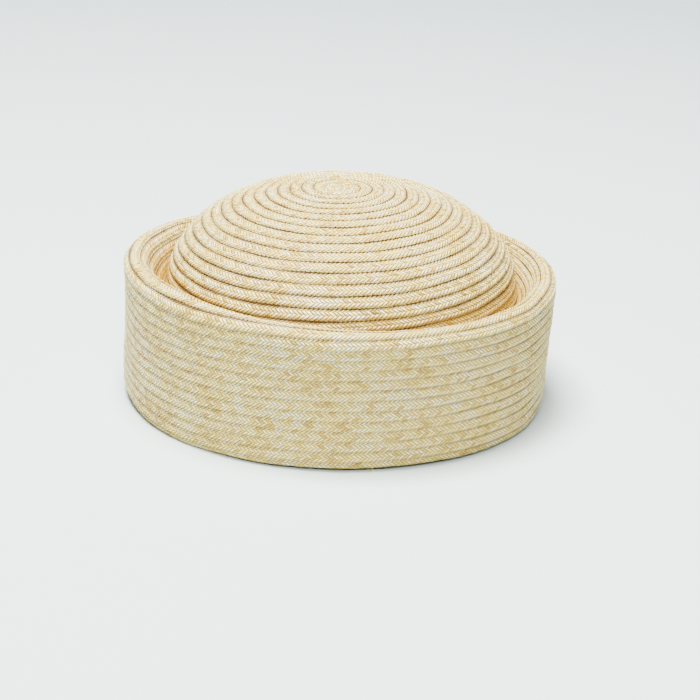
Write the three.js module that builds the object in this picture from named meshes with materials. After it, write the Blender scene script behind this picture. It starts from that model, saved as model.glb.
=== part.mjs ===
// Straw beret: a domed crown of sewn plait, set in a gutter inside an upright cuff whose top is
// folded over. The whole is one shell, about two layers of plait thick, and open below.
// Millimetres, +Z up. The origin is on the hat's middle axis, level with the cuff's lower edge.

import * as THREE from "three";

// Driving dimensions
const SEGMENTS = 52;
const SHELL = 1.8; // thickness where a row comes out from under the row before it
const ROW_STEP = 0.6; // how far a row's free edge stands over the next row
const SEAM_GAP = 0.3; // between the crown's last row and the cuff's first

const CROWN = {
  radius: 80.9,
  springing: 46.1, // height of the widest level of the dome's curve
  rise: 52.6, // from the springing to the top
  roundness: 2.33, // 2 is an ellipse, and more is fuller at the shoulder
  row: 5.35, // width of plait that shows
  shift: 1.2, // the crown stands a little to +X of the rim
};

const GUTTER = { bendRadius: 1.4, slopeDegrees: 56 };

const RIM = {
  height: 63.0, // mean height of the fold's top
  crestRadius: 92.8,
  innerBend: 3.9,
  outerWidth: 5.0,
  outerDrop: 6.0,
  row: 5.35,
  ovality: 1.2, // wider along X than along Y, at the radius
};

const CUFF = {
  footRadius: 96.3,
  footShift: -1.1,
  waistPull: 1.4, // the wall draws in under the rim and swells again near the foot
  rows: 13,
};

// The rim rises and falls as it goes round: once round for its tilt, twice for its warp
const RIM_WAVES = [
  { timesRound: 1, height: 2.6, peakDegrees: -141 },
  { timesRound: 2, height: 1.9, peakDegrees: 17 },
];

const STRAW = { crown: 0xeaddb8, cuff: 0xe0cf9f };

const SLOPE = THREE.MathUtils.degToRad(GUTTER.slopeDegrees);

// The crown's visible side, from its top down to the gutter
function crownHeight(radius) {
  const share = Math.min(1, radius / CROWN.radius) ** CROWN.roundness;
  return CROWN.springing + CROWN.rise * (1 - share) ** (1 / CROWN.roundness);
}

class DomeCurve extends THREE.Curve {
  constructor(endHeight) {
    super();
    const share = ((endHeight - CROWN.springing) / CROWN.rise) ** CROWN.roundness;
    this.endRadius = CROWN.radius * (1 - share) ** (1 / CROWN.roundness);
    this.arcLengthDivisions = 800;
  }

  getPoint(t, target = new THREE.Vector2()) {
    const radius = this.endRadius * Math.sin((t * Math.PI) / 2);
    return target.set(radius, crownHeight(radius));
  }
}

// The gutter's bend touches the crown on one side and the cuff's slope on the other
function gutterCentre() {
  const slopeTop = new THREE.Vector2(
    RIM.crestRadius - RIM.innerBend * Math.sin(SLOPE),
    RIM.height - RIM.innerBend * (1 - Math.cos(SLOPE)),
  );
  let height = CROWN.springing + 6;
  let radius = 0;
  for (let pass = 0; pass < 8; pass += 1) {
    radius = new DomeCurve(height).endRadius + GUTTER.bendRadius;
    const along = (slopeTop.x - GUTTER.bendRadius * Math.sin(SLOPE) - radius) / Math.cos(SLOPE);
    height = slopeTop.y + GUTTER.bendRadius * Math.cos(SLOPE) - along * Math.sin(SLOPE);
  }
  return { centre: new THREE.Vector2(radius, height), slopeTop };
}

const { centre: GUTTER_CENTRE, slopeTop: SLOPE_TOP } = gutterCentre();

function bend(centre, width, height, from, to) {
  return new THREE.EllipseCurve(centre.x, centre.y, width, height, from, to, to < from);
}

function crownPath() {
  const path = new THREE.CurvePath();
  const { bendRadius } = GUTTER;
  path.add(new DomeCurve(GUTTER_CENTRE.y));
  path.add(bend(GUTTER_CENTRE, bendRadius, bendRadius, Math.PI, 1.5 * Math.PI));
  return path;
}

// The cuff's visible side, from the gutter up the slope, over the rim and down to the foot
function cuffPath() {
  const { bendRadius } = GUTTER;
  const rimSide = new THREE.Vector2(RIM.crestRadius + RIM.outerWidth, RIM.height - RIM.outerDrop);
  const slopeFoot = new THREE.Vector2(
    GUTTER_CENTRE.x + bendRadius * Math.sin(SLOPE),
    GUTTER_CENTRE.y - bendRadius * Math.cos(SLOPE),
  );
  const innerCentre = new THREE.Vector2(RIM.crestRadius, RIM.height - RIM.innerBend);
  const outerCentre = new THREE.Vector2(RIM.crestRadius, rimSide.y);
  const path = new THREE.CurvePath();
  path.add(bend(GUTTER_CENTRE, bendRadius, bendRadius, 1.5 * Math.PI, 1.5 * Math.PI + SLOPE));
  path.add(new THREE.LineCurve(slopeFoot, SLOPE_TOP));
  path.add(bend(innerCentre, RIM.innerBend, RIM.innerBend, 0.5 * Math.PI + SLOPE, 0.5 * Math.PI));
  path.add(bend(outerCentre, RIM.outerWidth, RIM.outerDrop, 0.5 * Math.PI, 0));
  path.add(new THREE.CubicBezierCurve(
    rimSide,
    new THREE.Vector2(rimSide.x - CUFF.waistPull, 0.77 * rimSide.y),
    new THREE.Vector2(rimSide.x, 0.25 * rimSide.y),
    new THREE.Vector2(CUFF.footRadius, 0),
  ));
  return path;
}

// Distances along a path at which one row of plait ends and the next comes out from under it
function evenRows(from, to, count) {
  return Array.from({ length: count }, (_, row) => from + ((to - from) * (row + 1)) / count);
}

// A point of the path, moved off it along its left-hand normal
function offsetPoint(path, distance, offset) {
  const share = THREE.MathUtils.clamp(distance / path.getLength(), 0, 1);
  const point = path.getPoint(share);
  const tangent = path.getTangent(share);
  return new THREE.Vector2(point.x - tangent.y * offset, point.y + tangent.x * offset);
}

// The shell's section: shingled rows on the visible side, and a smooth side behind them
function shellSection(path, start, end, rowEnds, bends, backSteps) {
  const face = [];
  let rowStart = start;
  for (const rowEnd of rowEnds) {
    const width = rowEnd - rowStart;
    face.push(offsetPoint(path, rowStart, 0));
    for (const bend of bends.filter((at) => at > rowStart + 0.4 && at < rowEnd - 0.4)) {
      face.push(offsetPoint(path, bend, (ROW_STEP * (bend - rowStart)) / width));
    }
    face.push(offsetPoint(path, rowEnd, ROW_STEP));
    rowStart = rowEnd;
  }
  const back = backSteps.map((at) => offsetPoint(path, at, -SHELL));
  return { face, back: back.reverse() };
}

function rimWave(angle) {
  return RIM_WAVES.reduce((sum, wave) => {
    const peak = THREE.MathUtils.degToRad(wave.peakDegrees);
    return sum + wave.height * Math.cos(wave.timesRound * (angle - peak));
  }, 0);
}

// Spins a closed section round +Z, then lets each point follow the rim's wave, oval and shift
function spin(section, place) {
  const geometry = new THREE.LatheGeometry(section, SEGMENTS);
  const position = geometry.attributes.position;
  for (let index = 0; index < position.count; index += 1) {
    const { x: radius, y: height } = section[index % section.length];
    const turn = Math.floor(index / section.length) % SEGMENTS;
    const angle = (2 * Math.PI * turn) / SEGMENTS;
    const spot = place(radius, height, angle);
    position.setXYZ(index, spot.x, spot.y, spot.z);
  }
  geometry.computeVertexNormals();
  return geometry;
}

function placeCrown(radius, height, angle) {
  return {
    x: CROWN.shift + radius * Math.cos(angle),
    y: radius * Math.sin(angle),
    z: height,
  };
}

// Share 0 at the gutter or the foot, and 1 at the rim
function placeCuff(radius, height, angle) {
  const onSlope = radius < RIM.crestRadius && height > GUTTER_CENTRE.y - 4;
  const floor = onSlope ? GUTTER_CENTRE.y - GUTTER.bendRadius : 0;
  const share = THREE.MathUtils.clamp((height - floor) / (RIM.height - floor), 0, 1);
  const shift = (1 - share) * (onSlope ? CROWN.shift : CUFF.footShift);
  const oval = (onSlope ? share : 1) * RIM.ovality * Math.cos(2 * angle);
  return {
    x: shift + (radius + oval) * Math.cos(angle),
    y: (radius + oval) * Math.sin(angle),
    z: height + share * rimWave(angle),
  };
}

function strawMesh(name, geometry, color) {
  const material = new THREE.MeshStandardMaterial({ color, roughness: 0.55, metalness: 0 });
  const mesh = new THREE.Mesh(geometry, material);
  mesh.name = name;
  return mesh;
}

function buildCrown() {
  const path = crownPath();
  const end = path.getLength() - SEAM_GAP / 2;
  const rowEnds = evenRows(0, end, Math.round(end / CROWN.row));
  const bend = path.getLength() - (GUTTER.bendRadius * Math.PI) / 4;
  const backSteps = [...evenRows(0, end - 4, 12), end - 2, end - 1, end];
  const { face, back } = shellSection(path, 0, end, rowEnds, [bend], backSteps);
  face[0].x = 0;
  const underTop = new THREE.Vector2(0, CROWN.springing + CROWN.rise - SHELL);
  return strawMesh("crown", spin([...face, ...back, underTop].reverse(), placeCrown), STRAW.crown);
}

function buildCuff() {
  const path = cuffPath();
  const [gutter, slope, innerBend, outerBend, wall] = path.getCurveLengths();
  const foldEnd = 4 * RIM.row;
  const rowEnds = [...evenRows(SEAM_GAP / 2, foldEnd, 4), ...evenRows(foldEnd, wall, CUFF.rows)];
  const bends = [gutter, slope, ...evenRows(slope, outerBend, 6)];
  const backSteps = [
    SEAM_GAP / 2, gutter, (gutter + slope) / 2, slope, innerBend,
    ...evenRows(innerBend, outerBend, 4), ...evenRows(outerBend, wall, 7),
  ];
  const { face, back } = shellSection(path, SEAM_GAP / 2, wall, rowEnds, bends, backSteps);
  face[face.length - 1].y = 0;
  back[0].y = 0;
  const section = [...face, ...back, face[0]].reverse();
  return strawMesh("cuff", spin(section, placeCuff), STRAW.cuff);
}

const hat = new THREE.Group();
hat.add(buildCrown(), buildCuff());

export default hat;
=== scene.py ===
"""Straw beret: rows of herringbone plait sewn in one spiral over a domed crown and a folded cuff.

The hat and the camera's place are in millimetres until they are written, and the rest of the
studio is in metres.
"""

import logging
import math
from dataclasses import dataclass, field
from enum import Enum
from functools import partial
from typing import Any

import bmesh
import bpy
import numpy as np
from mathutils import Matrix, Vector


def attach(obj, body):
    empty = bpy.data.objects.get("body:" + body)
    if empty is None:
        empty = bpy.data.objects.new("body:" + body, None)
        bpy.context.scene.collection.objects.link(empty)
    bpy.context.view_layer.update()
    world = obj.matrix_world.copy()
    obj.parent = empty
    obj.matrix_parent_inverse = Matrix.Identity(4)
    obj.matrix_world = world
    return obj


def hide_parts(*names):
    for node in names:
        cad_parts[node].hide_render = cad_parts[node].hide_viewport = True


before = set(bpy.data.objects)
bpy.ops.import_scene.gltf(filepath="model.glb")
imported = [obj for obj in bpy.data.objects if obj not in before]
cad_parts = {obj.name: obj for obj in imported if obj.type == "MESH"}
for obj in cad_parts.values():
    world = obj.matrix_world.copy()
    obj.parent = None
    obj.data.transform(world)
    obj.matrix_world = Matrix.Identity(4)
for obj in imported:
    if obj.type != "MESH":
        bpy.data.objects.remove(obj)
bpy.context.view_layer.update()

LOG = logging.getLogger("straw_beret")
MM = 0.001
Floats = np.ndarray
Triple = tuple[float, float, float]
Tree = bpy.types.NodeTree
Socket = bpy.types.NodeSocket


class Side(Enum):
    """The two sides of the sewn straw."""

    OUTER = "outer"
    INNER = "inner"


@dataclass(frozen=True)
class RimWave:
    """One wave of the rim's height as it goes round."""

    times_round: int
    height: float
    peak_degrees: float


@dataclass(frozen=True)
class Dent:
    """One soft wave of hand-pressed straw. Its run is the length down the section for a radian."""

    strength: float
    times_round: int
    run: float
    phase: float


@dataclass
class HatProfile:
    """The hat's section and the way it is spun, with the same sizes as the solids."""

    crown_radius: float = 80.9
    springing: float = 46.1
    crown_rise: float = 52.6
    roundness: float = 2.33
    crown_shift: float = 1.2
    gutter_bend: float = 1.4
    slope: float = math.radians(56)
    rim_height: float = 63.0
    crest_radius: float = 92.8
    inner_bend: float = 3.9
    outer_width: float = 5.0
    outer_drop: float = 6.0
    ovality: float = 1.2
    foot_radius: float = 96.3
    foot_shift: float = -1.1
    waist_pull: float = 1.4
    waist_hold: float = 0.77
    foot_hold: float = 0.25
    foot_lift: float = 2.2
    foot_ripple: float = 1.5
    ripples: int = 3
    ripple_degrees: float = 210.0
    unevenness: float = 0.22
    even_radius: float = 30.0
    waves: tuple[RimWave, ...] = (RimWave(1, 2.6, -141.0), RimWave(2, 1.9, 17.0))
    dents: tuple[Dent, ...] = (
        Dent(1.0, 3, 19.0, 0.4),
        Dent(0.7, 5, -11.0, 2.1),
        Dent(0.5, 8, 7.0, 1.3),
        Dent(0.35, 13, -5.3, 5.0),
    )
    crown_points: int = 900
    gutter_points: tuple[int, int] = (30, 20)
    slope_points: int = 60
    rim_points: tuple[int, int] = (40, 60)
    wall_points: int = 220
    settling_passes: int = 8
    radius: Floats = field(init=False)
    height: Floats = field(init=False)
    distance: Floats = field(init=False)
    gutter_at: float = field(init=False)
    crest_at: float = field(init=False)
    gutter_floor: float = field(init=False)

    def __post_init__(self) -> None:
        """Works the section out once, from the crown's top to the foot."""
        centre, slope_top = self._gutter_centre()
        quarter = np.linspace(0, 1, self.crown_points)
        crown_r = self._crown_end(centre[1]) * np.sin(quarter * math.pi / 2)
        self.gutter_floor = centre[1] - self.gutter_bend
        half, low, bend = math.pi / 2, 1.5 * math.pi, self.gutter_bend
        before, after = self.gutter_points
        parts = [
            np.stack([crown_r, self._crown_height(crown_r)], 1),
            self._arc(centre, bend, bend, math.pi, low, before),
            self._arc(centre, bend, bend, low, low + self.slope, after),
        ]
        counts = [sum(len(part) for part in parts[:2]) - 1]
        parts.append(np.linspace(parts[-1][-1], slope_top, self.slope_points)[1:])
        inner = (self.crest_radius, self.rim_height - self.inner_bend)
        outer = (self.crest_radius, self.rim_height - self.outer_drop)
        rising, falling = self.rim_points
        parts.append(
            self._arc(inner, self.inner_bend, self.inner_bend, half + self.slope, half, rising)
        )
        counts.append(sum(len(part) for part in parts) - 1)
        parts.append(self._arc(outer, self.outer_width, self.outer_drop, half, 0, falling))
        parts.append(self._wall(self.wall_points))
        section = np.concatenate(parts)
        steps = np.hypot(*np.diff(section, axis=0).T)
        self.radius, self.height = section.T
        self.distance = np.concatenate([[0.0], np.cumsum(steps)])
        self.gutter_at, self.crest_at = (float(self.distance[at]) for at in counts)

    @property
    def foot_at(self) -> float:
        """The section's whole length."""
        return float(self.distance[-1])

    def _crown_height(self, radius: Floats) -> Floats:
        """Height of the crown's curve at a radius."""
        share = np.minimum(1.0, np.asarray(radius) / self.crown_radius) ** self.roundness
        return self.springing + self.crown_rise * (1 - share) ** (1 / self.roundness)

    def _crown_end(self, height: float) -> float:
        """Radius of the crown's curve at a height."""
        share = ((height - self.springing) / self.crown_rise) ** self.roundness
        return self.crown_radius * (1 - share) ** (1 / self.roundness)

    def _gutter_centre(self) -> tuple[tuple[float, float], tuple[float, float]]:
        """Finds the bend that touches the crown on one side and the slope on the other.

        Returns:
            The bend's centre and the slope's top end.
        """
        sine, cosine = math.sin(self.slope), math.cos(self.slope)
        slope_top = (
            self.crest_radius - self.inner_bend * sine,
            self.rim_height - self.inner_bend * (1 - cosine),
        )
        height = self.springing + 6
        radius = 0.0
        for _ in range(self.settling_passes):
            radius = self._crown_end(height) + self.gutter_bend
            run = slope_top[0] - self.gutter_bend * sine - radius
            along = run / cosine
            height = slope_top[1] + self.gutter_bend * cosine - along * sine
        return (radius, height), slope_top

    @staticmethod
    def _arc(
        centre: tuple[float, float], width: float, height: float, start: float, end: float, count: int
    ) -> Floats:
        """Points of an elliptical arc, without its first one."""
        turn = np.linspace(start, end, count + 1)[1:]
        return np.stack([centre[0] + width * np.cos(turn), centre[1] + height * np.sin(turn)], 1)

    def _wall(self, count: int) -> Floats:
        """Draws the cuff's wall, pulled in at its waist, without its first point.

        Args:
            count: How many points it gets.

        Returns:
            One row of radius and height for each point.
        """
        top = np.array([self.crest_radius + self.outer_width, self.rim_height - self.outer_drop])
        hold_top = np.array([top[0] - self.waist_pull, self.waist_hold * top[1]])
        hold_foot = np.array([top[0], self.foot_hold * top[1]])
        foot = np.array([self.foot_radius, 0.0])
        t = np.linspace(0, 1, count + 1)[1:, None]
        return (
            (1 - t) ** 3 * top
            + 3 * (1 - t) ** 2 * t * hold_top
            + 3 * (1 - t) * t**2 * hold_foot
            + t**3 * foot
        )

    def rim_wave(self, angle: Floats) -> Floats:
        """Finds how far the rim stands above or below its mean height.

        Args:
            angle: The direction round the hat.

        Returns:
            The height at each angle.
        """
        total = np.zeros_like(angle)
        for wave in self.waves:
            peak = math.radians(wave.peak_degrees)
            total = total + wave.height * np.cos(wave.times_round * (angle - peak))
        return total

    def lift(self, angle: Floats) -> Floats:
        """Finds how far the foot stands off the floor, most at the two sides.

        Args:
            angle: The direction round the hat.

        Returns:
            The height at each angle.
        """
        sides = self.foot_lift * np.clip(2 * np.cos(2 * angle) - 1, 0, 1)
        wave = np.cos(self.ripples * angle + math.radians(self.ripple_degrees))
        return sides + self.foot_ripple * np.sqrt(0.5 + 0.5 * wave)

    def point(self, distance: Floats, angle: Floats) -> Floats:
        """Finds points of the hat's smooth surface.

        Args:
            distance: How far from the crown's top along the section.
            angle: The direction round the hat, in radians.

        Returns:
            One row of x, y and z for each point.
        """
        radius = np.interp(distance, self.distance, self.radius)
        height = np.interp(distance, self.distance, self.height)
        on_crown = distance <= self.gutter_at
        on_slope = (distance > self.gutter_at) & (distance <= self.crest_at)
        floor = np.where(on_slope, self.gutter_floor, 0.0)
        share = np.clip((height - floor) / (self.rim_height - floor), 0, 1)
        share = np.where(on_crown, 0.0, share)
        shift = np.where(
            on_crown | on_slope, (1 - share) * self.crown_shift, (1 - share) * self.foot_shift
        )
        oval = np.where(on_slope, share, np.where(on_crown, 0.0, 1.0)) * self.ovality
        radius = radius + oval * np.cos(2 * angle)
        radius = radius + self._uneven(distance, angle) * np.clip(radius / self.even_radius, 0, 1)
        raised = share * self.rim_wave(angle)
        raised = raised + np.where(on_crown | on_slope, 0.0, (1 - share) * self.lift(angle))
        return np.stack([shift + radius * np.cos(angle), radius * np.sin(angle), height + raised], -1)

    def _uneven(self, distance: Floats, angle: Floats) -> Floats:
        """Adds up the soft dents of hand-pressed straw.

        Args:
            distance: How far from the crown's top along the section.
            angle: The direction round the hat.

        Returns:
            How far each point stands out.
        """
        total = np.zeros_like(distance)
        for dent in self.dents:
            wave = np.sin(dent.times_round * angle + distance / dent.run + dent.phase)
            total = total + dent.strength * wave
        return self.unevenness * total


@dataclass
class RowMap:
    """Where the rows of the spiral lie. A row's place is counted in turns from the crown's middle."""

    profile: HatProfile
    crown_row: float = 5.335
    wall_row: float = 4.67
    middle: float = 0.12
    crown_until: float = 90.0
    wall_from: float = 24.5
    last: float = 36.79
    pole: tuple[float, float] = (-3.0, -2.0)
    pole_fade: tuple[float, float] = (90.0, 118.0)
    angle_count: int = 361
    turn_count: int = 1452
    section_count: int = 2400
    normal_reach: float = 0.02
    normal_turns: float = 0.3
    angles: Floats = field(init=False)
    turns: Floats = field(init=False)
    table: Floats = field(init=False)

    def __post_init__(self) -> None:
        """Lays the rows out on each meridian."""
        self.angles = np.linspace(-math.pi, math.pi, self.angle_count)
        self.turns = np.linspace(self.middle, self.last, self.turn_count)
        fine = np.linspace(0, self.profile.foot_at, self.section_count)
        crown_turn = self.middle + self.crown_until / self.crown_row
        rows = []
        for angle in self.angles:
            spots = self.profile.point(fine, np.full_like(fine, angle))
            steps = np.linalg.norm(np.diff(spots, axis=0), axis=1)
            from_foot = np.concatenate([np.cumsum(steps[::-1])[::-1], [0.0]])
            wall_start = np.interp(
                (self.last - self.wall_from) * self.wall_row, from_foot[::-1], fine[::-1]
            )
            on_wall = np.interp(
                (self.last - self.turns) * self.wall_row, from_foot[::-1], fine[::-1]
            )
            on_crown = (self.turns - self.middle) * self.crown_row
            share = (self.turns - crown_turn) / (self.wall_from - crown_turn)
            between = self.crown_until + share * (wall_start - self.crown_until)
            below = np.where(self.turns > self.wall_from, on_wall, between)
            rows.append(np.where(self.turns < crown_turn, on_crown, below))
        self.table = np.array(rows)

    def _distance(self, turn: Floats, angle: Floats) -> Floats:
        """Reads the table between its entries.

        Args:
            turn: Place across the rows, in turns from the middle.
            angle: The direction round the rows' middle.

        Returns:
            How far each place lies from the crown's top along the section.
        """
        column = (np.clip(turn, self.middle, self.last) - self.middle) / (self.turns[1] - self.turns[0])
        row = ((angle + math.pi) % (2 * math.pi)) / (self.angles[1] - self.angles[0])
        c0 = np.minimum(column.astype(int), len(self.turns) - 2)
        r0 = np.minimum(row.astype(int), len(self.angles) - 2)
        dc, dr = column - c0, row - r0
        near = self.table[r0, c0] * (1 - dc) + self.table[r0, c0 + 1] * dc
        far = self.table[r0 + 1, c0] * (1 - dc) + self.table[r0 + 1, c0 + 1] * dc
        return near * (1 - dr) + far * dr

    def point(self, turn: Floats, angle: Floats) -> Floats:
        """Finds points on the rows, whose common middle lies a little off the crown's own.

        Args:
            turn: Place across the rows, in turns from the middle.
            angle: The direction round the rows' middle.

        Returns:
            One row of x, y and z for each point.
        """
        reach = self._distance(turn, angle)
        start, end = self.pole_fade
        fade = np.clip((reach - start) / (end - start), 0, 1)
        fade = 1 - fade * fade * (3 - 2 * fade)
        across = reach * np.cos(angle) + self.pole[0] * fade
        along = reach * np.sin(angle) + self.pole[1] * fade
        return self.profile.point(np.hypot(across, along), np.arctan2(along, across))

    def frame_at(self, turn: Floats, angle: Floats) -> tuple[Floats, Floats]:
        """Finds points on the rows and the surface's outward normals there.

        Args:
            turn: Place across the rows, in turns from the middle.
            angle: The direction round the rows' middle.

        Returns:
            The points and the unit normals.
        """
        low = np.clip(turn - self.normal_reach, self.middle, self.last)
        high = np.clip(turn + self.normal_reach, self.middle, self.last)
        outward = self.point(high, angle) - self.point(low, angle)
        spin = self.normal_reach / np.maximum(turn - self.middle, self.normal_turns)
        round_hat = self.point(turn, angle + spin) - self.point(turn, angle - spin)
        normal = np.cross(outward, round_hat)
        length = np.maximum(np.linalg.norm(normal, axis=-1, keepdims=True), 1e-12)
        return self.point(turn, angle), normal / length


@dataclass(frozen=True)
class Plait:
    """The plait itself: flat straws laid as herringbone, in ranks that slant by turns each way."""

    pitch: float = 1.95
    ranks: int = 3
    per_pitch: int = 3
    relief: float = 0.13
    roundness: float = 0.34
    thickness: float = 0.75
    tucked: float = -0.48
    step: float = 0.86
    first_rise: float = 0.4
    rise_turns: float = 4.0
    lowest: float = -0.2
    swell: float = 0.05
    tooth: float = 0.24
    nick: float = 0.20
    nick_from: float = 0.93
    nick_width: float = 0.12
    unlike: float = 0.10
    stagger: float = 0.5
    calm: float = 0.6
    calm_from: float = 0.8
    calm_width: float = 0.2
    foot_turn: float = 0.5
    foot_curl: float = 1.3
    back_gap: float = 0.35
    back_slope: float = 0.55
    back_wander: float = 0.15

    def weave(self, along: Floats, across: Floats) -> Floats:
        """Height of the uppermost straw.

        Args:
            along: Place along the plait, in straw pitches.
            across: Place across the row, in ranks.

        Returns:
            The height over the plait's mean plane.
        """
        rank = np.floor(across)
        leaning = np.where(rank % 2 == 0, along - across, along + across + self.stagger)
        nearest = np.round(leaning)
        share = np.clip((across / self.ranks - self.calm_from) / self.calm_width, 0, 1)
        body = self.roundness * (1 - self.calm * share) * np.cos(math.pi * (leaning - nearest))
        arch = self.relief * np.sin(math.pi * (across - rank))
        return body + arch + self.unlike * self._chance(nearest, rank) - self.relief

    @staticmethod
    def wander(along: Floats, turn: Floats) -> Floats:
        """How far the straw rises and falls along the plait."""
        return 0.10 * np.sin(along / 9.7 + 1.0) + 0.08 * np.sin(along / 4.1 + turn)

    @staticmethod
    def wobble(along: Floats) -> Floats:
        """How far the plait strays sideways, in rows."""
        return 0.025 * np.sin(along / 6.3) + 0.02 * np.sin(along / 2.9 + 2.0)

    @staticmethod
    def _chance(first: Floats, second: Floats) -> Floats:
        """A fixed number from -1 to 1 for each pair of numbers."""
        mixed = np.sin(first * 12.9898 + second * 78.233) * 43758.5453
        return 2 * (mixed - np.floor(mixed)) - 1


@dataclass(frozen=True)
class Zones:
    """Where painted shade and bounce light turn the gutter's straw golden, and how strong the painted
    shade in the seams between the rows is.
    """

    # Where painted shade and bounce light turn the gutter's straw golden
    gutter_at: float = 19.3
    gutter_reach: float = 2.0
    gutter_mean: float = 1.12
    gutter_swing: float = 0.22
    # How strong the painted seam shade is, from the crown's middle outwards, round the wall, and inside
    lines_from: float = 0.7
    lines_fade: float = 1.6
    top_until: float = 11.0
    top_fade: float = 6.0
    top_extra: float = 0.5
    wall_from: float = 23.5
    wall_mean: float = 0.64
    wall_swing: float = 0.32
    softest_degrees: float = -105.0
    inside: float = 0.4

    def gutter(self, place: Floats, angle: Floats) -> Floats:
        """How much painted shade and bounce light turn the straw golden: most in the gutter, and more
        at the left than at the right.
        """
        share = np.exp(-(((place - self.gutter_at) / self.gutter_reach) ** 4))
        return share * (self.gutter_mean - self.gutter_swing * np.cos(angle))

    def lines(self, place: Floats, angle: Floats, side: Side) -> Floats:
        """How strong the painted shade in the seam beside a row is: weaker on the wall's front and
        back, and inside.

        Args:
            place: Place across the rows, in turns from the middle.
            angle: The direction round the hat.
            side: The side of the straw.

        Returns:
            A share, over 1 where the painted shade is also wider.
        """
        # The painted seam shade is strongest at the wall's sides and weakest at its front and back
        swing = np.cos(2 * (angle - math.radians(self.softest_degrees)))
        loose = self.wall_mean - self.wall_swing * swing
        sewn = np.clip((place - self.lines_from) / self.lines_fade, 0, 1)
        sewn = sewn * np.where(place > self.wall_from, loose, 1.0)
        if side is Side.INNER:
            return sewn * self.inside
        # Near the crown's top the painted seam shade is stronger and wider
        return sewn * (1 + self.top_extra * np.clip((self.top_until - place) / self.top_fade, 0, 1))


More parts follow.
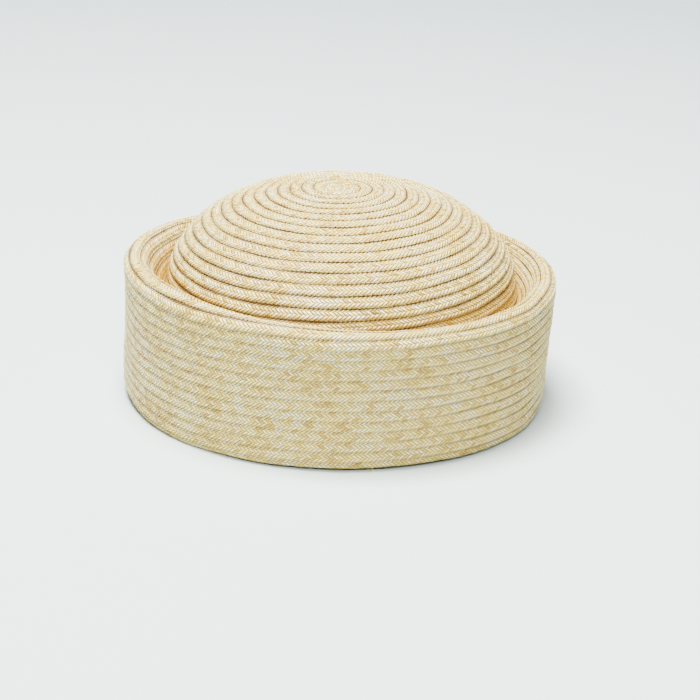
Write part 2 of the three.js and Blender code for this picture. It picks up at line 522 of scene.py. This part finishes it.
@dataclass
class PlaitRun:
    """One stretch of the spiral, as a strip of plait with a turned-in free edge."""

    # Stations of the back's inner edge and of its body, and how far each lies in
    BACK_ACROSS = (-0.10, -0.13, -0.09, 0.15, 0.45, 0.75, 1.02)
    BACK_DROP = (0.55, 0.25, 0.0, 0.0, 0.0, 0.0, 0.0)
    # Stations of the free edge, which rolls over and turns in under the straw
    EDGE_ACROSS = (1.055, 1.065, 0.93)
    EDGE_FROM = 1.01
    ROLL_DROP = 0.10
    ROLL_SHARES = (0.75, 1.2)
    BODY_DROP = 0.3
    POLE_TURNS = 0.8
    LEAD_IN = -0.3
    FINE_STEPS = 60000

    name: str
    rows: RowMap
    plait: Plait
    first_turn: float
    last_turn: float
    row_width: float
    side: Side = Side.OUTER
    zones: Zones = Zones()

    @property
    def per_pitch(self) -> int:
        """Columns of points for each straw along the plait."""
        return self.plait.per_pitch if self.side is Side.OUTER else 1

    def _columns(self) -> tuple[Floats, Floats]:
        """Places the strip's columns at equal steps along its middle line.

        Returns:
            The turn at which each column stands, and its place along the plait in pitches.
        """
        fine = np.linspace(self.LEAD_IN, self.rows.last, self.FINE_STEPS)
        angle = -math.pi / 2 - 2 * math.pi * fine
        spots = self.rows.point(np.clip(fine + 0.5, self.rows.middle, self.rows.last), angle)
        steps = np.linalg.norm(np.diff(spots, axis=0), axis=1)
        length = np.concatenate([[0.0], np.cumsum(steps)]) / self.plait.pitch
        ends = np.interp([self.first_turn, self.last_turn], fine, length)
        low, high = (round(float(end) * self.per_pitch) for end in ends)
        along = np.arange(low, high + 1) / self.per_pitch
        return np.interp(along, length, fine), along

    def _stations(self) -> tuple[Floats, Floats]:
        """Places the strip's rows of points across its width.

        Returns:
            The place across, 0 at the inner edge and 1 where the next row starts, and the drop.
        """
        if self.side is Side.INNER:
            return np.array(self.BACK_ACROSS), np.array(self.BACK_DROP)
        count = self.plait.per_pitch * self.plait.ranks
        body = np.arange(-1, count + 1) / count
        across = np.concatenate([body, self.EDGE_ACROSS])
        roll = [share * self.plait.thickness for share in self.ROLL_SHARES]
        return across, np.concatenate([np.zeros_like(body), [self.ROLL_DROP, *roll]])

    def _height(self, across: Floats, along: Floats, drop: Floats, turn: Floats) -> Floats:
        """Finds the strip's height over the hat's smooth surface.

        Args:
            across: Place across the row, 1 where the next row starts.
            along: Place along the plait, in straw pitches.
            drop: How far in the point's station lies.
            turn: How many turns from the middle the point's column stands.

        Returns:
            The height of each point.
        """
        plait = self.plait
        wander = plait.wander(along, turn)
        if self.side is Side.INNER:
            depth = plait.thickness + plait.back_gap + plait.back_slope * (1 - across)
            return drop - plait.back_wander * wander - depth
        rise = plait.step * np.clip(plait.first_rise + turn / plait.rise_turns, 0, 1)
        swell = plait.swell * np.sin(math.pi * np.clip(across, 0, 1))
        shingle = plait.tucked + rise * np.maximum(across, plait.lowest) + swell
        relief = plait.weave(along, np.clip(across, 0.0, 0.999) * plait.ranks)
        valley = 0.5 - 0.5 * np.cos(2 * math.pi * along)
        nick = plait.nick * valley * np.clip((across - plait.nick_from) / plait.nick_width, 0, 1)
        hem = np.clip(1 - (self.rows.last - turn - across) / plait.foot_turn, 0, 1)
        curl = plait.foot_curl * hem * hem
        return shingle + relief * (drop < self.BODY_DROP) + wander * across - drop - nick - curl

    def build(self) -> bpy.types.Object:
        """Makes the strip from a grid whose points are laid along the spiral.

        Returns:
            The new object, in the scene.
        """
        column_turn, column_along = self._columns()
        station, drop = self._stations()
        bm = bmesh.new()
        bmesh.ops.create_grid(
            bm, x_segments=len(column_turn) - 1, y_segments=len(station) - 1, size=1.0
        )
        mesh = bpy.data.meshes.new(self.name)
        bm.to_mesh(mesh)
        bm.free()
        flat = np.empty(len(mesh.vertices) * 3, dtype=np.float32)
        mesh.vertices.foreach_get("co", flat)
        flat = flat.reshape(-1, 3).astype(float)
        low, high = flat.min(axis=0), flat.max(axis=0)
        share = (flat - low)[:, :2] / (high - low)[:2]
        column = np.rint(share[:, 0] * (len(column_turn) - 1)).astype(int)
        rank = np.rint(share[:, 1] * (len(station) - 1)).astype(int)

        turn, along = column_turn[column], column_along[column]
        lower = np.maximum(station[0], self.rows.middle - turn)
        upper = np.minimum(station.max(), self.rows.last - turn)
        across = np.clip(station[rank], lower, upper)
        at_pole = (rank == 0) & (turn < self.rows.middle + self.POLE_TURNS)
        across = np.where(at_pole, self.rows.middle - turn, across)
        if self.side is Side.OUTER:
            tooth = 0.5 + 0.5 * np.cos(2 * math.pi * along)
            edge = station[rank] > self.EDGE_FROM
            across = across + edge * (tooth * self.plait.tooth / self.row_width)
        place = turn + across + self.plait.wobble(along)
        place = np.clip(place, self.rows.middle, self.rows.last)
        angle = -math.pi / 2 - 2 * math.pi * turn
        spots, normals = self.rows.frame_at(place, angle)
        height = self._height(across, along, drop[rank], turn)
        spots = (spots + normals * height[:, None]) * MM
        mesh.vertices.foreach_set("co", spots.astype(np.float32).ravel())

        # The zone layer keeps how strong the gutter's painted shade and the seams' painted shade are at
        # each point
        lines = self.zones.lines(place, angle, self.side)
        self._add_layer(mesh, "plait", along, across * self.plait.ranks)
        self._add_layer(mesh, "zone", self.zones.gutter(place, angle), lines)
        mesh.polygons.foreach_set("use_smooth", np.ones(len(mesh.polygons), dtype=bool))
        mesh.update()
        self._face_outwards(mesh, normals)
        piece = bpy.data.objects.new(self.name, mesh)
        bpy.context.scene.collection.objects.link(piece)
        return piece

    @staticmethod
    def _add_layer(mesh: bpy.types.Mesh, name: str, first: Floats, second: Floats) -> None:
        """Keeps two values of each point as a UV layer.

        Args:
            mesh: The mesh that gets it.
            name: The layer's name.
            first: The value kept as U.
            second: The value kept as V.
        """
        loops = np.empty(len(mesh.loops), dtype=np.int32)
        mesh.loops.foreach_get("vertex_index", loops)
        layer = mesh.uv_layers.new(name=name)
        uv = np.stack([first[loops], second[loops]], 1).astype(np.float32)
        layer.data.foreach_set("uv", uv.ravel())

    def _face_outwards(self, mesh: bpy.types.Mesh, normals: Floats) -> None:
        """Turns the strip's faces so that they show the side they stand for.

        Args:
            mesh: The strip's mesh.
            normals: The hat's outward normal at each point.
        """
        middle = mesh.polygons[len(mesh.polygons) // 2]
        outward = Vector(normals[middle.vertices[0]])
        wrong = middle.normal.dot(outward) < 0
        if wrong == (self.side is Side.OUTER):
            mesh.flip_normals()


def node(tree: Tree, kind: str, **values: Any) -> bpy.types.Node:
    """Adds a node and sets its properties.

    Args:
        tree: The node tree that gets it.
        kind: The node's type name.
        values: Properties of the node, by name.

    Returns:
        The new node.
    """
    made = tree.nodes.new(kind)
    for name, value in values.items():
        setattr(made, name, value)
    return made


def feed(tree: Tree, socket: Socket, value: Any) -> None:
    """Links a socket to another one, or sets its value.

    Args:
        tree: The node tree that holds them.
        socket: The input that is fed.
        value: A socket, a number or a colour.
    """
    if isinstance(value, Socket):
        tree.links.new(value, socket)
    else:
        socket.default_value = value


def math_node(tree: Tree, operation: str, *inputs: Any) -> Socket:
    """Adds a Math node fed by sockets or numbers.

    Args:
        tree: The node tree that gets it.
        operation: The node's operation.
        inputs: A socket or a number for each input.

    Returns:
        The node's output.
    """
    made = node(tree, "ShaderNodeMath", operation=operation)
    for socket, value in zip(made.inputs, inputs):
        feed(tree, socket, value)
    return made.outputs[0]


def smooth_step(tree: Tree, value: Socket, start: Any, end: Any) -> Socket:
    """Adds a Map Range node that goes smoothly from 0 to 1.

    Args:
        tree: The node tree that gets it.
        value: The value that is mapped.
        start: Where the output is 0, as a socket or a number.
        end: Where the output is 1, as a socket or a number.

    Returns:
        The node's output.
    """
    made = node(tree, "ShaderNodeMapRange", interpolation_type="SMOOTHSTEP")
    for socket, part in zip(made.inputs, (value, start, end)):
        feed(tree, socket, part)
    return made.outputs[0]


class PlaitGroup:
    """The node group that tells the straws of the plait apart. Each straw material places it."""

    NAME = "Herringbone straw"
    INPUTS = (("Grain", 0.35), ("Tilt", 1.6), ("Seam from", 0.24), ("Seam to", 0.10))
    # Three of the outputs are masks of painted shade: in the seams, at the rolled free edge, and in the
    # gaps between straws. One is a mask of painted highlights
    OUTPUTS = ("Straw", "Cell", "Painted glint", "Gap shade", "Seam", "Fold shade", "Height", "Grain", "Drift")
    # In each pair, a mask is 0 at the first value and 1 at the second
    # TOOTH makes the painted seam shade follow the teeth of the free edge above it
    TOOTH = -0.02
    # FOLD places painted shade where a row's free edge rolls under, and BESIDE and BEYOND place painted
    # shade in the gaps beside and beyond each straw
    FOLD = (0.95, 1.03)
    BESIDE = (0.21, 0.46)
    BEYOND = (0.38, 0.52)
    BEYOND_SHARE = 0.6
    FIBRE_STRETCH = (4.5, 2.1, 3.1)
    FIBRE_SCALE = 1.6
    FIBRE_DETAIL = 2.0
    SIDE_POWER = 2.5
    END_POWER = 2.0
    END_FALL = -0.5
    DRIFT_SCALE = 55.0
    DRIFT_DETAIL = 3.0
    # DRIFT_WEIGHT, LUCKY and SPECK choose which straws get a painted highlight: in patches, and only in
    # each straw's middle
    DRIFT_WEIGHT = 1.8
    LUCKY = (1.58, 1.78)
    SPECK = (0.42, 0.16)
    SPECK_LENGTH = 0.9

    @classmethod
    def get(cls) -> Tree:
        """Returns the group, and builds it the first time."""
        return bpy.data.node_groups.get(cls.NAME) or cls._build()

    @classmethod
    def _empty(cls) -> Tree:
        """Makes the group with its named inputs and outputs.

        Returns:
            The group, without its nodes.
        """
        tree = bpy.data.node_groups.new(cls.NAME, "ShaderNodeTree")
        sockets = tree.interface
        sockets.new_socket("Plait", in_out="INPUT", socket_type="NodeSocketVector")
        sockets.new_socket("Place", in_out="INPUT", socket_type="NodeSocketVector")
        for name, value in cls.INPUTS:
            socket = sockets.new_socket(name, in_out="INPUT", socket_type="NodeSocketFloat")
            socket.default_value = value
        for name in cls.OUTPUTS:
            sockets.new_socket(name, in_out="OUTPUT", socket_type="NodeSocketFloat")
        sockets.new_socket("Tint", in_out="OUTPUT", socket_type="NodeSocketColor")
        return tree

    @classmethod
    def _build(cls) -> Tree:
        """Builds the group from the place along and across the plait.

        Returns:
            The new group.
        """
        tree = cls._empty()
        into = node(tree, "NodeGroupInput").outputs
        out = node(tree, "NodeGroupOutput").inputs
        link = tree.links.new
        times = partial(math_node, tree, "MULTIPLY")
        times_add = partial(math_node, tree, "MULTIPLY_ADD")
        minus = partial(math_node, tree, "SUBTRACT")

        parts = node(tree, "ShaderNodeSeparateXYZ")
        link(into["Plait"], parts.inputs[0])
        along, across = parts.outputs["X"], parts.outputs["Y"]
        rank = math_node(tree, "FLOOR", across)
        pair = math_node(tree, "FLOOR", times(rank, 0.5))
        odd = minus(rank, times(pair, 2.0))
        sign = times_add(odd, 2.0, -1.0)
        staggered = times_add(odd, Plait.stagger, along)
        leaning = times_add(across, sign, staggered)
        nearest = math_node(tree, "ROUND", leaning)
        side_offset = minus(leaning, nearest)
        end_offset = minus(minus(across, rank), 0.5)
        side = math_node(tree, "ABSOLUTE", side_offset)
        end = math_node(tree, "ABSOLUTE", end_offset)

        straw = cls._chance(tree, times_add(odd, 0.37, nearest), pair)
        link(straw.outputs["Value"], out["Straw"])
        cell = cls._chance(tree, nearest, math_node(tree, "ADD", rank, 17.3))
        link(cell.outputs["Value"], out["Cell"])
        link(cell.outputs["Color"], out["Tint"])
        split = node(tree, "ShaderNodeSeparateColor")
        link(cell.outputs["Color"], split.inputs[0])

        # Masks of painted shade: in the seam under the row before, where the free edge rolls under, and
        # in the gaps between straws
        row_share = math_node(tree, "DIVIDE", across, float(Plait.ranks))
        teeth = math_node(tree, "COSINE", times(along, 2 * math.pi))
        reach = times_add(teeth, cls.TOOTH, row_share)
        link(smooth_step(tree, reach, into["Seam from"], into["Seam to"]), out["Seam"])
        link(smooth_step(tree, row_share, *cls.FOLD), out["Fold shade"])
        beyond = times(smooth_step(tree, end, *cls.BEYOND), cls.BEYOND_SHARE)
        beside = smooth_step(tree, side, *cls.BESIDE)
        link(math_node(tree, "MAXIMUM", beside, beyond), out["Gap shade"])

        fibre_place = node(tree, "ShaderNodeCombineXYZ")
        for at, value in enumerate((side_offset, across, nearest)):
            stretched = times(value, cls.FIBRE_STRETCH[at])
            link(stretched, fibre_place.inputs[at])
        fibre = cls._noise(tree, fibre_place.outputs[0], cls.FIBRE_SCALE, cls.FIBRE_DETAIL)
        link(fibre, out["Grain"])
        side_fall = math_node(tree, "POWER", times(side, 2.0), cls.SIDE_POWER)
        end_fall = math_node(tree, "POWER", times(end, 2.0), cls.END_POWER)
        side_fall = times(side_fall, -1.0)
        body = times_add(end_fall, cls.END_FALL, side_fall)
        tilts = [
            times(minus(chance, 0.5), offset)
            for chance, offset in zip(split.outputs, (side_offset, end_offset))
        ]
        tilt = times(math_node(tree, "ADD", *tilts), into["Tilt"])
        grains = times_add(fibre, into["Grain"], tilt)
        link(math_node(tree, "ADD", grains, body), out["Height"])

        drift = cls._noise(tree, into["Place"], cls.DRIFT_SCALE, cls.DRIFT_DETAIL)
        link(drift, out["Drift"])
        # Painted highlights on the middles of some straws, grouped in patches by the drift
        luck = times_add(drift, cls.DRIFT_WEIGHT, split.outputs[2])
        off_middle = math_node(tree, "MAXIMUM", side, times(end, cls.SPECK_LENGTH))
        speck = smooth_step(tree, off_middle, *cls.SPECK)
        painted_glint = times(smooth_step(tree, luck, *cls.LUCKY), speck)
        link(painted_glint, out["Painted glint"])
        return tree

    @staticmethod
    def _noise(tree: Tree, place: Socket, scale: float, detail: float) -> Socket:
        """Adds soft noise.

        Args:
            tree: The node tree that gets it.
            place: Where the noise is read.
            scale: The noise's scale.
            detail: The noise's detail.

        Returns:
            The noise's value.
        """
        noise = node(tree, "ShaderNodeTexNoise", noise_dimensions="3D")
        noise.inputs["Scale"].default_value = scale
        noise.inputs["Detail"].default_value = detail
        tree.links.new(place, noise.inputs["Vector"])
        return noise.outputs[0]

    @staticmethod
    def _chance(tree: Tree, first: Socket, second: Socket) -> bpy.types.Node:
        """Adds white noise that stays the same for each pair of numbers.

        Args:
            tree: The node tree that gets it.
            first: The first number.
            second: The second number.

        Returns:
            The noise node.
        """
        pair = node(tree, "ShaderNodeCombineXYZ")
        tree.links.new(first, pair.inputs[0])
        tree.links.new(second, pair.inputs[1])
        noise = node(tree, "ShaderNodeTexWhiteNoise", noise_dimensions="3D")
        tree.links.new(pair.outputs[0], noise.inputs["Vector"])
        return noise


@dataclass(frozen=True)
class StrawFinish:
    """Natural wheat straw, plaited flat and lightly stiffened, with painted shade and painted
    highlights in its colour.
    """

    name: str
    tones: tuple[tuple[float, float, float, float], ...] = (
        (0.00, 0.34, 0.17, 0.01),
        (0.20, 0.62, 0.37, 0.03),
        (0.40, 0.85, 0.61, 0.08),
        (0.60, 0.97, 0.77, 0.16),
        (0.80, 1.00, 0.86, 0.25),
        (1.00, 1.00, 0.91, 0.40),
    )
    # Painted light: highlights on some straws, shade in the gaps between straws and at the rolled
    # edges, shade in the seams under each row, and shade with bounce light in the gutter
    painted_glint_color: Triple = (1.0, 0.94, 0.66)
    gap_shade_color: Triple = (0.21, 0.10, 0.015)
    seam_shade_color: Triple = (0.11, 0.050, 0.012)
    gutter_shade_color: Triple = (0.58, 0.32, 0.005)
    straw_share: float = 0.22
    cell_share: float = 0.68
    drift_share: float = 0.4
    drift_base: float = -0.08
    grain_share: float = 1.2
    grain_base: float = -0.60
    # How strong each painted highlight and painted shade is, and where the painted seam shade lies
    # across the row
    painted_glint_strength: float = 0.85
    gap_shade_strength: float = 0.94
    seam_shade_strength: float = 0.96
    seam_shade_from: float = 0.245
    seam_shade_to: float = 0.195
    fold_shade_strength: float = 0.35
    gutter_shade_strength: float = 0.75
    tint_strength: float = 0.07
    specular: float = 0.4
    roughness: float = 0.36
    cell_gloss: float = -0.22
    grain_roughness: float = 0.12
    gap_roughness: float = 0.3
    bump: float = 1.0
    bump_depth: float = 0.0005

    def material(self) -> bpy.types.Material:
        """Builds the finish.

        Returns:
            The material, which reads the piece's own plait coordinates.
        """
        made = bpy.data.materials.new(self.name)
        made.use_nodes = True
        tree = made.node_tree
        tree.nodes.clear()
        link = tree.links.new
        out = node(tree, "ShaderNodeOutputMaterial")
        shader = node(tree, "ShaderNodeBsdfPrincipled")
        link(shader.outputs[0], out.inputs[0])
        shader.inputs["Specular IOR Level"].default_value = self.specular

        group = node(tree, "ShaderNodeGroup", node_tree=PlaitGroup.get())
        straw = group.outputs
        link(node(tree, "ShaderNodeUVMap", uv_map="plait").outputs[0], group.inputs["Plait"])
        link(node(tree, "ShaderNodeTexCoord").outputs["Object"], group.inputs["Place"])
        group.inputs["Seam from"].default_value = self.seam_shade_from
        group.inputs["Seam to"].default_value = self.seam_shade_to
        zone = node(tree, "ShaderNodeSeparateXYZ")
        link(node(tree, "ShaderNodeUVMap", uv_map="zone").outputs[0], zone.inputs[0])

        shining = self._shining(tree, straw)
        tinted = self._mix(tree, self.tint_strength, shining, straw["Tint"])
        # Painted shade and bounce light turn the straw golden in the gutter
        gutter_shade = math_node(tree, "MULTIPLY", zone.outputs["X"], self.gutter_shade_strength)
        gutter_shaded = self._mix(tree, gutter_shade, tinted, self.gutter_shade_color)
        # Painted shade in the gaps between straws and where the free edge rolls under
        gap = math_node(tree, "MULTIPLY", straw["Gap shade"], self.gap_shade_strength)
        folded = math_node(tree, "MULTIPLY", straw["Fold shade"], self.fold_shade_strength)
        dark = math_node(tree, "MAXIMUM", gap, folded)
        plaited = self._mix(tree, dark, gutter_shaded, self.gap_shade_color)
        # Painted shade in the seam under each row's free edge, as strong as the zone layer's second
        # value
        seam = math_node(tree, "MULTIPLY", straw["Seam"], self.seam_shade_strength)
        sewn = math_node(tree, "MULTIPLY", seam, zone.outputs["Y"])
        link(self._mix(tree, sewn, plaited, self.seam_shade_color), shader.inputs["Base Color"])

        rough = math_node(tree, "MULTIPLY_ADD", straw["Cell"], self.cell_gloss, self.roughness)
        grainy = math_node(tree, "MULTIPLY_ADD", straw["Grain"], self.grain_roughness, rough)
        rougher = math_node(tree, "MULTIPLY_ADD", dark, self.gap_roughness, grainy)
        link(rougher, shader.inputs["Roughness"])

        bump = node(tree, "ShaderNodeBump")
        bump.inputs["Strength"].default_value = self.bump
        bump.inputs["Distance"].default_value = self.bump_depth
        link(straw["Height"], bump.inputs["Height"])
        link(bump.outputs[0], shader.inputs["Normal"])
        return made

    def _shining(self, tree: Tree, straw: Any) -> Socket:
        """Colours each straw from dark to light at random, with painted highlights.

        Args:
            tree: The node tree that gets the nodes.
            straw: The plait group's outputs.

        Returns:
            The straw's colour, with painted highlights.
        """
        ramp = node(tree, "ShaderNodeValToRGB")
        stops = ramp.color_ramp.elements
        for count, (at, red, green, blue) in enumerate(self.tones):
            stop = stops[count] if count < 2 else stops.new(at)
            stop.position = at
            stop.color = (red, green, blue, 1.0)
        spread = math_node(tree, "MULTIPLY", straw["Straw"], self.straw_share)
        tone = math_node(tree, "MULTIPLY_ADD", straw["Cell"], self.cell_share, spread)
        drift = math_node(
            tree, "MULTIPLY_ADD", straw["Drift"], self.drift_share, self.drift_base
        )
        grain = math_node(
            tree, "MULTIPLY_ADD", straw["Grain"], self.grain_share, self.grain_base
        )
        tone = math_node(tree, "ADD", math_node(tree, "ADD", tone, drift), grain)
        tree.links.new(tone, ramp.inputs[0])
        # Painted highlights on some straws
        painted_glint = math_node(tree, "MULTIPLY", straw["Painted glint"], self.painted_glint_strength)
        return self._mix(tree, painted_glint, ramp.outputs[0], self.painted_glint_color)

    @staticmethod
    def _mix(tree: Tree, share: Any, first: Socket, second: Any) -> Socket:
        """Adds a colour mix.

        Args:
            tree: The node tree that gets it.
            share: How much of the second colour, as a socket or a number.
            first: The first colour.
            second: The second colour, as a socket or as red, green and blue.

        Returns:
            The mixed colour.
        """
        mix = node(tree, "ShaderNodeMix", data_type="RGBA")
        feed(tree, mix.inputs[0], share)
        feed(tree, mix.inputs[6], first)
        linked = isinstance(second, Socket)
        feed(tree, mix.inputs[7], second if linked else (*second, 1.0))
        return mix.outputs[2]


@dataclass(frozen=True)
class StageFinish:
    """Matt studio paper under the hat and behind it."""

    name: str = "Studio paper"
    color: Triple = (0.605, 0.70, 0.71)
    roughness: float = 0.85

    def material(self) -> bpy.types.Material:
        """Builds the finish.

        Returns:
            A plain matt material.
        """
        made = bpy.data.materials.new(self.name)
        made.use_nodes = True
        shader = made.node_tree.nodes["Principled BSDF"]
        shader.inputs["Base Color"].default_value = (*self.color, 1.0)
        shader.inputs["Roughness"].default_value = self.roughness
        return made


@dataclass
class StrawEnd:
    """The cut end of a straw that peeps out from under the foot."""

    name: str
    profile: HatProfile
    azimuth_degrees: float = -78.5
    thickness: float = 0.8
    length: float = 3.0
    proud: float = 0.3
    sides: int = 12
    root_share: float = 0.5
    tip_share: float = 0.42
    lying_share: float = 0.45
    plait_spot: tuple[float, float] = (13.0, 1.5)
    zone_spot: tuple[float, float] = (0.0, 0.0)

    def build(self) -> bpy.types.Object:
        """Makes the end as a short blunt cone that lies outwards under the edge.

        Returns:
            The new object, in the scene.
        """
        bm = bmesh.new()
        bmesh.ops.create_cone(
            bm,
            cap_ends=True,
            segments=self.sides,
            radius1=self.root_share * self.thickness,
            radius2=self.tip_share * self.thickness,
            depth=self.length,
        )
        angle = math.radians(self.azimuth_degrees)
        foot = self.profile.point(np.array([self.profile.foot_at]), np.array([angle]))[0]
        outward = Vector((math.cos(angle), math.sin(angle), 0.0))
        middle = Vector(foot) + outward * (self.proud - 0.5 * self.length)
        middle.z = self.lying_share * self.thickness
        turn = outward.to_track_quat("Z", "Y").to_matrix().to_4x4()
        placed = Matrix.Scale(MM, 4) @ Matrix.Translation(middle) @ turn
        bmesh.ops.transform(bm, matrix=placed, verts=bm.verts)
        mesh = bpy.data.meshes.new(self.name)
        bm.to_mesh(mesh)
        bm.free()
        for name, spot in (("plait", self.plait_spot), ("zone", self.zone_spot)):
            layer = mesh.uv_layers.new(name=name)
            layer.data.foreach_set("uv", np.tile(np.float32(spot), len(mesh.loops)))
        piece = bpy.data.objects.new(self.name, mesh)
        bpy.context.scene.collection.objects.link(piece)
        return piece


@dataclass
class StrawPart:
    """A part of the hat: runs of plait outside and their backs inside."""

    name: str
    slot: str
    runs: list[PlaitRun | StrawEnd]
    finish: StrawFinish
    pieces: list[bpy.types.Object] = field(default_factory=list)

    def build(self) -> None:
        """Makes every run's strip."""
        for run in self.runs:
            piece = run.build()
            self.pieces.append(piece)
            triangles = len(piece.data.loops) - 2 * len(piece.data.polygons)
            LOG.info("%s: %d triangles", piece.name, triangles)

    def dress(self) -> None:
        """Gives the strips their straw and their place in the frame."""
        material = self.finish.material()
        for piece in self.pieces:
            piece.data.materials.append(material)
            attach(piece, "root")
            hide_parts(self.name)


@dataclass
class Hat:
    """The whole hat, in the order in which it is sewn. The turns say where each run starts."""

    profile: HatProfile = field(default_factory=HatProfile)
    plait: Plait = field(default_factory=Plait)
    wall_plait: Plait = Plait(step=0.44, tucked=-0.20, swell=0.0, tooth=0.20)
    top_turn: float = -0.28
    shoulder_turn: float = 13.0
    seam_turn: float = 19.0
    wall_turn: float = 24.4
    lower_turn: float = 30.4
    short_of_end: float = 0.06

    def parts(self) -> list[StrawPart]:
        """Lists the crown and the cuff with their runs of plait.

        Returns:
            The two parts, not built yet.
        """
        rows = RowMap(self.profile)
        end = rows.last - self.short_of_end

        def outer(name: str, start: float, stop: float) -> PlaitRun:
            """Describes one stretch of the visible side.

            Args:
                name: The piece's name.
                start: The turn it starts at.
                stop: The turn it ends at.

            Returns:
                The stretch, not built yet.
            """
            if start < self.wall_turn:
                return PlaitRun(name, rows, self.plait, start, stop, rows.crown_row)
            return PlaitRun(name, rows, self.wall_plait, start, stop, rows.wall_row)

        def inner(name: str, start: float, stop: float) -> PlaitRun:
            """One stretch of the side that faces the head."""
            return PlaitRun(name, rows, self.plait, start, stop, rows.crown_row, Side.INNER)

        crown = StrawPart(
            "crown",
            "crown_straw",
            [
                outer("crown_top", self.top_turn, self.shoulder_turn),
                outer("crown_side", self.shoulder_turn, self.seam_turn),
                inner("crown_inside", self.top_turn, self.seam_turn),
            ],
            StrawFinish("Crown straw"),
        )
        cuff = StrawPart(
            "cuff",
            "cuff_straw",
            [
                outer("cuff_fold", self.seam_turn, self.wall_turn),
                outer("cuff_upper", self.wall_turn, self.lower_turn),
                outer("cuff_lower", self.lower_turn, end),
                inner("cuff_inside", self.seam_turn, end),
                StrawEnd("cuff_straw_end", self.profile),
            ],
            StrawFinish("Cuff straw", seam_shade_from=0.26, seam_shade_to=0.215),
        )
        return [crown, cuff]


@dataclass(frozen=True)
class Softbox:
    """One square light that faces the hat."""

    name: str
    place: Triple
    power: float
    aim: Triple = (0.0, 0.0, 0.05)
    size: float = 0.6
    color: Triple = (1.0, 0.98, 0.94)

    def hang(self) -> None:
        """Adds the light to the scene."""
        light = bpy.data.lights.new(self.name, "AREA")
        light.shape = "SQUARE"
        light.size = self.size
        light.energy = self.power
        light.color = self.color
        lamp = bpy.data.objects.new(self.name, light)
        lamp.location = self.place
        towards = Vector(self.aim) - Vector(self.place)
        lamp.rotation_euler = towards.to_track_quat("-Z", "Y").to_euler()
        bpy.context.scene.collection.objects.link(lamp)


@dataclass
class Studio:
    """Floor, light and camera."""

    eye: Triple = (5.9, -817.3, 338.0)
    down_degrees: float = 21.3211
    roll_degrees: float = 2.2164
    lens: float = 96.196
    sensor: float = 36.0
    clip: tuple[float, float] = (0.05, 20.0)
    softboxes: tuple[Softbox, ...] = (
        Softbox("overhead", (-0.20, -0.04, 1.5), 130.0),
        Softbox("front", (0.12, -1.15, 1.2), 29.0),
    )
    sky_color: Triple = (0.95, 0.97, 1.0)
    sky_strength: float = 0.34
    sheet_half_width: float = 5.0
    sheet_front: float = 5.0
    sheet_half_length: float = 4.0
    sheet_bend: float = 0.5
    sheet_bend_at: float = 1.3
    sheet_segments: int = 160

    def build_floor(self) -> None:
        """Makes a pale sheet that lies under the hat and curves up behind it."""
        bm = bmesh.new()
        bmesh.ops.create_grid(bm, x_segments=2, y_segments=self.sheet_segments, size=1.0)
        bend, start = self.sheet_bend, self.sheet_bend_at
        for vert in bm.verts:
            run = (vert.co.y + 1) * self.sheet_half_length - self.sheet_front
            past = max(0.0, run - start)
            turn = min(past / bend, math.pi / 2)
            rise = bend * (1 - math.cos(turn)) + max(0.0, past - bend * math.pi / 2)
            back = min(run, start) + bend * math.sin(turn)
            vert.co = Vector((vert.co.x * self.sheet_half_width, back, rise))
        mesh = bpy.data.meshes.new("studio_sheet")
        bm.to_mesh(mesh)
        bm.free()
        mesh.polygons.foreach_set("use_smooth", np.ones(len(mesh.polygons), dtype=bool))
        sheet = bpy.data.objects.new("studio_sheet", mesh)
        bpy.context.scene.collection.objects.link(sheet)
        mesh.materials.append(StageFinish().material())

    def build_lights(self) -> None:
        """Hangs a broad soft light over the hat, with a weaker one in front."""
        for softbox in self.softboxes:
            softbox.hang()
        world = bpy.data.worlds.new("studio")
        bpy.context.scene.world = world
        world.use_nodes = True
        background = world.node_tree.nodes["Background"]
        background.inputs[0].default_value = (*self.sky_color, 1.0)
        background.inputs[1].default_value = self.sky_strength

    def build_camera(self) -> None:
        """Sets the camera where the hat is seen a little from above."""
        down, roll = math.radians(self.down_degrees), math.radians(self.roll_degrees)
        ahead = Vector((0, math.cos(down), -math.sin(down)))
        side = Vector((1, 0, 0))
        above = side.cross(ahead)
        right = math.cos(roll) * side + math.sin(roll) * above
        up = math.cos(roll) * above - math.sin(roll) * side
        camera = bpy.data.cameras.new("camera")
        camera.sensor_width = self.sensor
        camera.lens = self.lens
        camera.clip_start, camera.clip_end = self.clip
        eye = bpy.data.objects.new("camera", camera)
        turned = Matrix((right, up, -ahead)).transposed().to_4x4()
        eye.matrix_world = Matrix.Translation(Vector(self.eye) * MM) @ turned
        bpy.context.scene.collection.objects.link(eye)
        bpy.context.scene.camera = eye


def main() -> None:
    """Builds the studio and the hat, piece by piece."""
    logging.basicConfig(level=logging.INFO, format="%(message)s")
    studio = Studio()
    studio.build_camera()
    studio.build_floor()
    studio.build_lights()
    for part in Hat().parts():
        part.build()
        part.dress()
        LOG.info("%s: %d pieces dressed", part.name, len(part.pieces))


if __name__ == "__main__":
    main()
